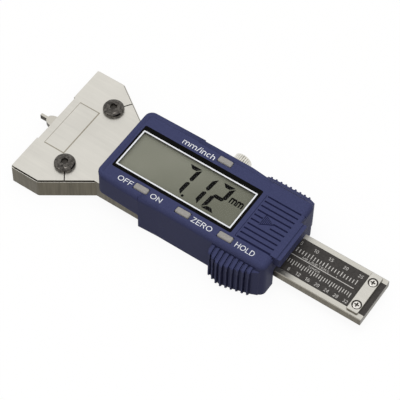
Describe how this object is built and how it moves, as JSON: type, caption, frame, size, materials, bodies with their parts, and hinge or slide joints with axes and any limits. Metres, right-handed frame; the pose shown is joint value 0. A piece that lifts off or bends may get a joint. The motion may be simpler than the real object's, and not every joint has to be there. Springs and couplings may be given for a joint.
{
  "type": "digital depth gauge",
  "caption": "Small digital depth gauge: flat T-shaped base, sliding graduated beam with a thin depth rod, display housing with press buttons, lock screw and sliding battery hatch.",
  "frame": {"origin": "on the measuring face (the plane of the two pads), at the middle of the beam's width, level with the flat back of the base", "axes": "+X along the beam from the measuring face to the beam's tail, +Z out of the flat back towards the display"},
  "size_m": [0.1189, 0.0444, 0.0153],
  "materials": {
    "base_steel": "ground, satin",
    "plate_steel": "fine ground, bright",
    "black_steel": "black oxide, semi-gloss",
    "screw_steel": "zinc, satin",
    "navy_plastic": "fine moulded texture",
    "window_plastic": "clear",
    "display_glass": "satin grey-green",
    "tray_plastic": "moulded",
    "zebra_rubber": "soft",
    "board_laminate": "solder mask",
    "chip_resin": "cured drop",
    "spring_steel": "bright strip",
    "grey_plastic": "moulded",
    "cell_steel": "nickel plated",
    "thumb_steel": "nickel plated, knurled",
    "gib_brass": "plain",
    "beam_steel": "ground, satin",
    "scale_label": "printed film",
    "rod_steel": "hardened, satin"
  },
  "bodies": {
    "slider": {"base_frame": "base_steel", "cover_plate": "plate_steel", "cover_screws": "black_steel", "housing": "navy_plastic", "window_lens": "window_plastic", "lcd_panel": "display_glass", "lcd_frame": "tray_plastic", "zebra_connector": "zebra_rubber", "circuit_board": "board_laminate", "chip_cover": "chip_resin", "snap_domes": "spring_steel", "button_cell": "cell_steel", "positive_contact": "spring_steel", "negative_contact": "spring_steel", "gib_strip": "gib_brass", "gib_screws": "screw_steel", "housing_screws": "screw_steel", "board_screws": "screw_steel"},
    "beam_set": {"beam": "beam_steel", "scale_strip": "scale_label", "depth_rod": "rod_steel", "rod_rivets": "screw_steel", "stop_plate": "plate_steel", "stop_screws": "screw_steel"},
    "off_on_key": {"button_off_on": "grey_plastic"},
    "zero_key": {"button_zero": "grey_plastic"},
    "hold_key": {"button_hold": "grey_plastic"},
    "units_key": {"button_units": "grey_plastic"},
    "hatch": {"battery_hatch": "navy_plastic"},
    "lock": {"lock_screw": "thumb_steel"}
  },
  "joints": [
    {"name": "beam_slide", "type": "slide", "parent": "slider", "child": "beam_set", "axis": [-1, 0, 0], "range_m": [-0.0057, 0.0197]},
    {"name": "off_on_press", "type": "slide", "parent": "slider", "child": "off_on_key", "axis": [0, 0, -1], "range_m": [0, 0.0003], "stiffness_N_per_m": 3000},
    {"name": "zero_press", "type": "slide", "parent": "slider", "child": "zero_key", "axis": [0, 0, -1], "range_m": [0, 0.0003], "stiffness_N_per_m": 3000},
    {"name": "hold_press", "type": "slide", "parent": "slider", "child": "hold_key", "axis": [0, 0, -1], "range_m": [0, 0.0003], "stiffness_N_per_m": 3000},
    {"name": "units_press", "type": "slide", "parent": "slider", "child": "units_key", "axis": [0, 0, -1], "range_m": [0, 0.0003], "stiffness_N_per_m": 3000},
    {"name": "hatch_slide", "type": "slide", "parent": "slider", "child": "hatch", "axis": [1, 0, 0], "range_m": [0, 0.012]},
    {"name": "lock_turn", "type": "hinge", "parent": "slider", "child": "lock", "pos_m": [0.0549, 0.0173, 0.00519], "axis": [0, -1, 0], "range_deg": [0, 60]}
  ]
}
